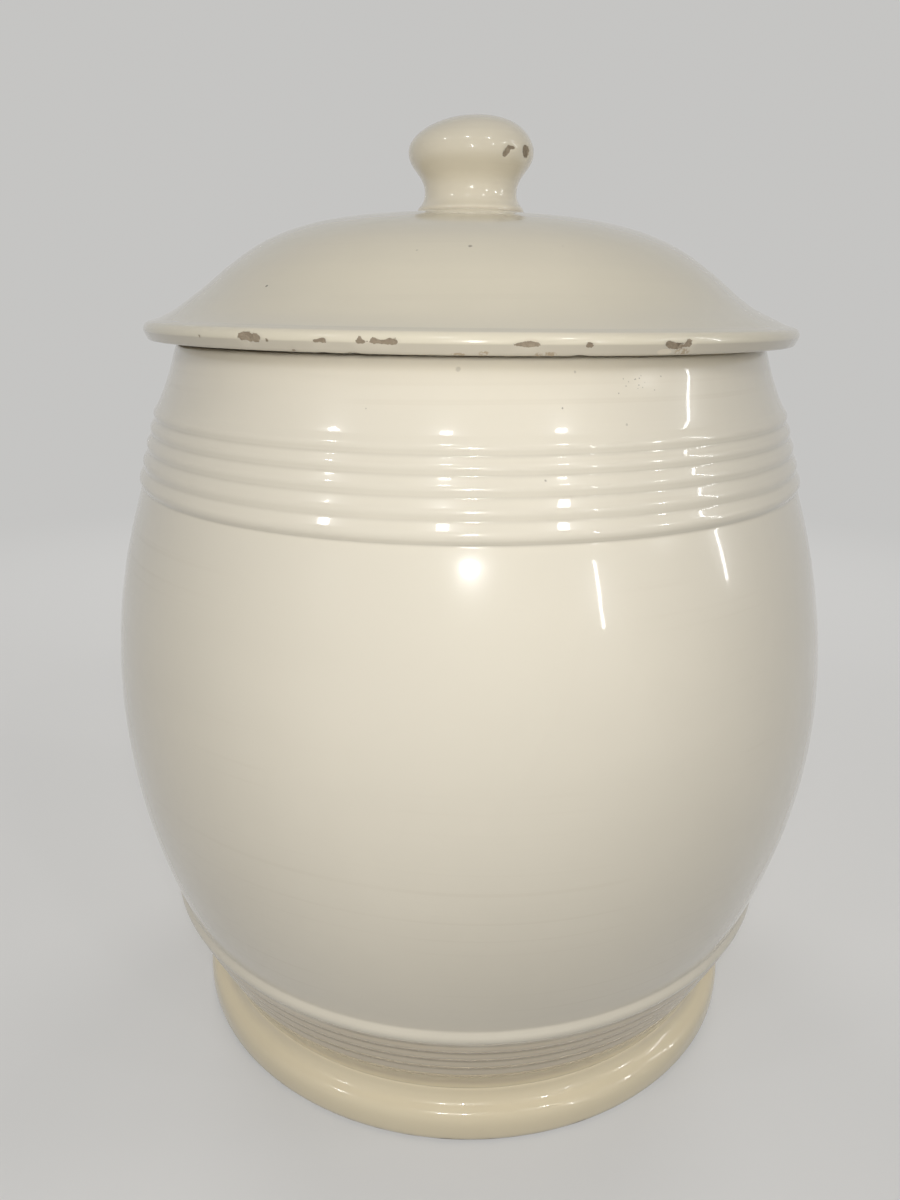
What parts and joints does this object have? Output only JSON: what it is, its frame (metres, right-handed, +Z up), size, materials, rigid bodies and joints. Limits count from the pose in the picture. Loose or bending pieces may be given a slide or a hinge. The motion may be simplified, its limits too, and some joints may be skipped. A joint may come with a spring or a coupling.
{
  "type": "lidded storage jar",
  "caption": "Glazed earthenware storage jar: barrel body with a reeded shoulder on a flared foot ring, and a domed lift-off lid with a mushroom knob.",
  "frame": {"origin": "centre of the foot ring on the surface that the jar stands on", "axes": "+Z up along the jar's axis; the picture looks along +Y, with +X to its right"},
  "size_m": [0.2288, 0.2288, 0.285],
  "materials": {
    "jar_glaze": "glossy opaque off-white glaze over grey-brown earthenware, with faint turning rings and a few dark specks",
    "foot_glaze": "glossy cream glaze that gathers on the flare, wiped back to bare clay on the resting face",
    "lid_glaze": "glossy off-white glaze, chipped to grey-brown clay along the edge and on the knob"
  },
  "bodies": {
    "jar": {"jar_body": "jar_glaze", "foot_ring": "foot_glaze"},
    "lid": {"lid": "lid_glaze", "lid_knob": "lid_glaze"}
  },
  "joints": [
    {"name": "lid_lift", "type": "slide", "parent": "jar", "child": "lid", "axis": [0, 0, 1], "range_m": [0, 0.06]}
  ]
}
